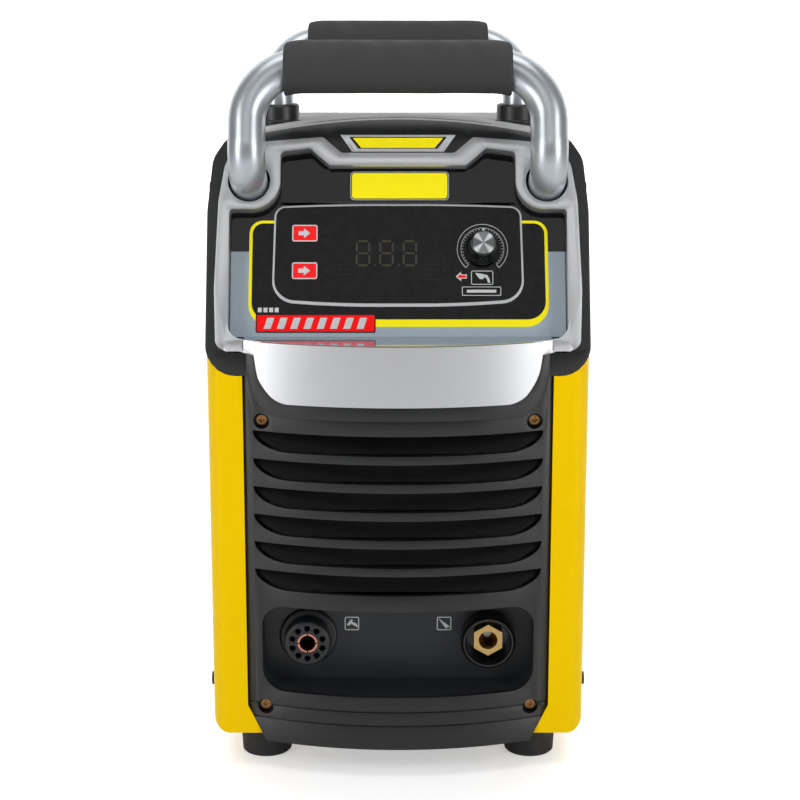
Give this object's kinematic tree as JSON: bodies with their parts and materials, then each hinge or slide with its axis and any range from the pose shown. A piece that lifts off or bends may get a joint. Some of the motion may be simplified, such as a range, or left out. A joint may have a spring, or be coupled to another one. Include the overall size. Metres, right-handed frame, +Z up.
{
  "type": "plasma cutter unit",
  "caption": "Upright inverter plasma cutter with a leaning control head, louvred front with sunk connectors, tube handles and a rear air regulator.",
  "frame": {"origin": "on the floor under the middle of the whole unit", "axes": "+Z up, the control face looks towards -Y, +X is to the right seen from the front"},
  "size_m": [0.2344, 0.531, 0.4458],
  "materials": {
    "yellow_paint": "gloss",
    "black_moulding": "fine textured",
    "silver_moulding": "satin metallic",
    "gloss_black": "gloss",
    "panel_graphite": "gloss",
    "silver_tube": "satin metallic",
    "foam_grip": "matt closed-cell foam",
    "foot_rubber": "matt",
    "copper": "machined",
    "brass": "machined",
    "red_button": "gloss",
    "spun_aluminium": "spun",
    "zinc_steel": "plated",
    "yellow_zinc": "plated",
    "black_oxide": "satin",
    "board_green": "solder mask",
    "core_iron": "varnished",
    "aluminium": "extruded",
    "fan_black": "satin",
    "clear_plastic": "clear",
    "hose_rubber": "satin",
    "nameplate_yellow": "gloss",
    "capacitor_sleeve": "gloss"
  },
  "bodies": {
    "unit": {"side_panel_left": "yellow_paint", "side_panel_right": "yellow_paint", "base_pan": "zinc_steel", "rubber_feet": "foot_rubber", "front_column": "black_moulding", "connector_tray": "black_moulding", "work_socket_body": "gloss_black", "work_socket_contact": "copper", "panel_nuts": "zinc_steel", "torch_bushing": "gloss_black", "torch_connector": "brass", "column_screws": "yellow_zinc", "head_bezel": "black_moulding", "head_frame": "silver_moulding", "control_panel": "panel_graphite", "panel_film": "gloss_black", "nameplate_board": "gloss_black", "nameplate": "nameplate_yellow", "top_badge_frame": "silver_moulding", "encoder_body": "zinc_steel", "control_board": "board_green", "display_module": "gloss_black", "front_handle": "silver_tube", "front_grip": "foam_grip", "rear_handle": "silver_tube", "rear_grip": "foam_grip", "rear_handle_collars": "black_moulding", "top_cover": "black_moulding", "handle_rails": "zinc_steel", "rear_panel": "black_moulding", "fan_frame": "fan_black", "fan_grille": "black_oxide", "power_switch_body": "gloss_black", "cable_gland": "black_moulding", "earth_stud": "brass", "regulator_block": "aluminium", "filter_bowl": "clear_plastic", "air_inlet": "brass", "gauge_case": "black_oxide", "gauge_glass": "clear_plastic", "louvre_vanes": "black_moulding", "shelf": "zinc_steel", "heat_sink": "aluminium", "inverter_board": "board_green", "transistor_modules": "gloss_black", "capacitors": "capacitor_sleeve", "main_transformer": "core_iron", "output_choke": "core_iron", "solenoid_valve": "brass", "air_hose": "hose_rubber", "case_screws": "black_oxide"},
    "upper_button": {"button_upper": "red_button"},
    "lower_button": {"button_lower": "red_button"},
    "knob": {"current_knob": "gloss_black", "knob_cap": "spun_aluminium", "encoder_shaft": "zinc_steel"},
    "fan_rotor": {"fan_impeller": "fan_black"},
    "switch_lever": {"power_switch_lever": "black_moulding"},
    "pressure_knob": {"regulator_knob": "black_moulding"},
    "needle": {"gauge_needle": "red_button"}
  },
  "joints": [
    {"name": "upper_button_push", "type": "slide", "parent": "unit", "child": "upper_button", "axis": [0, 0.9272, -0.3746], "range_m": [0, 0.0006], "stiffness_N_per_m": 1500, "springref_m": -0.0006},
    {"name": "lower_button_push", "type": "slide", "parent": "unit", "child": "lower_button", "axis": [0, 0.9272, -0.3746], "range_m": [0, 0.0006], "stiffness_N_per_m": 1500, "springref_m": -0.0006},
    {"name": "current_knob_turn", "type": "hinge", "parent": "unit", "child": "knob", "pos_m": [0.0512, -0.2084, 0.32084], "axis": [0, -0.9272, 0.3746], "range_deg": [-150, 150]},
    {"name": "fan_spin", "type": "hinge", "parent": "unit", "child": "fan_rotor", "pos_m": [0, 0.1985, 0.232], "axis": [0, 1, 0], "continuous": true},
    {"name": "power_switch_toggle", "type": "hinge", "parent": "unit", "child": "switch_lever", "pos_m": [-0.056, 0.2065, 0.13], "axis": [1, 0, 0], "range_deg": [-22, 22]},
    {"name": "pressure_knob_turn", "type": "hinge", "parent": "unit", "child": "pressure_knob", "pos_m": [0.052, 0.2325, 0.1396], "axis": [0, 0, 1], "range_deg": [-360, 360]},
    {"name": "gauge_needle_swing", "type": "hinge", "parent": "unit", "child": "needle", "pos_m": [0.052, 0.2595, 0.115], "axis": [0, 1, 0], "range_deg": [-135, 135]}
  ]
}
